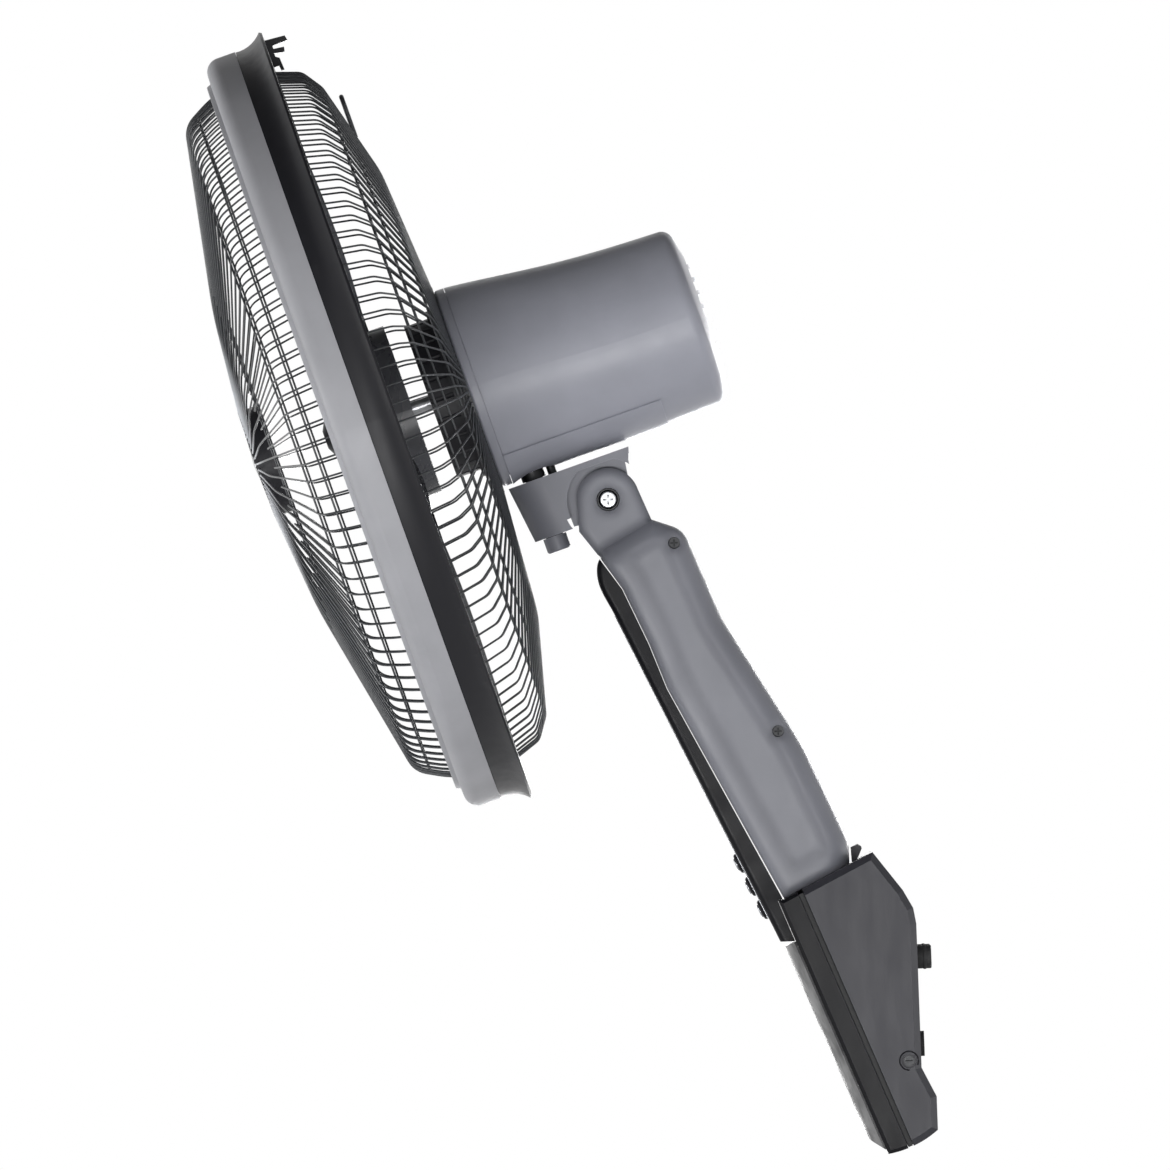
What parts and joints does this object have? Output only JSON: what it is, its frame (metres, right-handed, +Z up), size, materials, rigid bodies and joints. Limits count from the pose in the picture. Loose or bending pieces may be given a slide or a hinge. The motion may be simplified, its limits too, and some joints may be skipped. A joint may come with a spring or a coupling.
{
  "type": "wall mounted fan",
  "caption": "Wall fan: a box base with a leaning arm that carries a tilting, swinging motor head and bladed rotor inside a round wire guard.",
  "frame": {"origin": "centre of the four wall screw holes, on the wall plane", "axes": "+Y into the wall, so the fan faces -Y; +Z up; +X across the fan, X = 0 its middle"},
  "size_m": [0.4516, 0.3969, 0.6348],
  "materials": {
    "base_black": "moulded, fine matt",
    "gloss_black": "polished",
    "arm_grey": "smooth satin moulding",
    "bracket_grey": "smooth satin moulding",
    "ring_grey": "smooth satin moulding",
    "motor_grey": "smooth satin moulding",
    "ring_black": "satin moulding",
    "wire_dark": "powder coat",
    "blade_plastic": "smooth moulding",
    "hub_black": "satin moulding",
    "bright_trim": "bright plate",
    "steel": "zinc plated",
    "dark_steel": "blackened",
    "sheet_steel": "zinc plated sheet",
    "lamination": "stacked sheet, oiled",
    "winding": "varnished copper wire bundle",
    "cast_alloy": "as cast",
    "bronze": "sintered",
    "board_green": "solder resist",
    "part_white": "moulded",
    "rubber_black": "soft"
  },
  "bodies": {
    "base": {"base_rear_shell": "base_black", "base_front_frame": "base_black", "base_front_panel": "gloss_black", "wall_bushes": "rubber_black", "lock_screws": "dark_steel", "mounting_plate": "sheet_steel", "cord_inlet": "rubber_black", "control_board": "board_green", "board_posts": "part_white", "board_screws": "steel", "run_capacitor": "part_white", "terminal_block": "part_white", "arm_shell_left": "arm_grey", "arm_shell_right": "arm_grey", "arm_front_cover": "gloss_black", "arm_trim": "bright_trim", "arm_screws": "dark_steel", "arm_spine": "sheet_steel", "root_screws": "steel", "switch_block": "part_white", "tilt_bolt": "steel", "tilt_nut": "steel", "tilt_washers": "part_white"},
    "button_1": {"button_high": "bright_trim"},
    "button_2": {"button_low": "bright_trim"},
    "button_3": {"button_off": "bright_trim"},
    "neck": {"neck_bracket": "bracket_grey", "pan_bush": "bronze", "drive_pin": "dark_steel"},
    "head": {"pan_pin": "dark_steel", "pan_retainer": "bracket_grey", "gear_case": "cast_alloy", "swing_drive": "part_white", "case_screws": "steel", "motor_collar": "motor_grey", "motor_rear_cover": "motor_grey", "motor_cover_screws": "steel", "motor_front_bracket": "cast_alloy", "motor_rear_bracket": "cast_alloy", "tie_screws": "steel", "stator_core": "lamination", "stator_windings": "winding", "front_bearing": "steel", "rear_bearing": "steel", "guard_nut": "hub_black", "rear_guard_plate": "wire_dark", "rear_guard_wires": "wire_dark", "rear_guard_rings": "wire_dark", "front_guard_wires": "wire_dark", "front_guard_rings": "wire_dark", "guard_centre_disc": "hub_black", "guard_centre_cap": "bright_trim", "guard_ring_front": "ring_grey", "guard_ring_rear": "ring_black", "guard_clip": "ring_black", "guard_hook": "wire_dark"},
    "rotor": {"shaft": "steel", "rotor_core": "lamination", "fan_blade": "blade_plastic", "blade_nut": "hub_black"}
  },
  "joints": [
    {"name": "head_tilt", "type": "hinge", "parent": "base", "child": "neck", "pos_m": [0, -0.1699, 0.3033], "axis": [1, 0, 0], "range_deg": [-20, 6]},
    {"name": "head_pan", "type": "hinge", "parent": "neck", "child": "head", "pos_m": [0, -0.21023, 0.31553], "axis": [0, -0.3007, 0.9537], "range_deg": [-45, 45]},
    {"name": "blade_spin", "type": "hinge", "parent": "head", "child": "rotor", "pos_m": [0, -0.2998, 0.3502], "axis": [0, -0.9537, -0.3007], "continuous": true},
    {"name": "press_1", "type": "slide", "parent": "base", "child": "button_1", "axis": [0, 0.9077, 0.4197], "range_m": [0, 0.0015], "stiffness_N_per_m": 250},
    {"name": "press_2", "type": "slide", "parent": "base", "child": "button_2", "axis": [0, 0.9077, 0.4197], "range_m": [0, 0.0015], "stiffness_N_per_m": 250},
    {"name": "press_3", "type": "slide", "parent": "base", "child": "button_3", "axis": [0, 0.9077, 0.4197], "range_m": [0, 0.0015], "stiffness_N_per_m": 250}
  ]
}
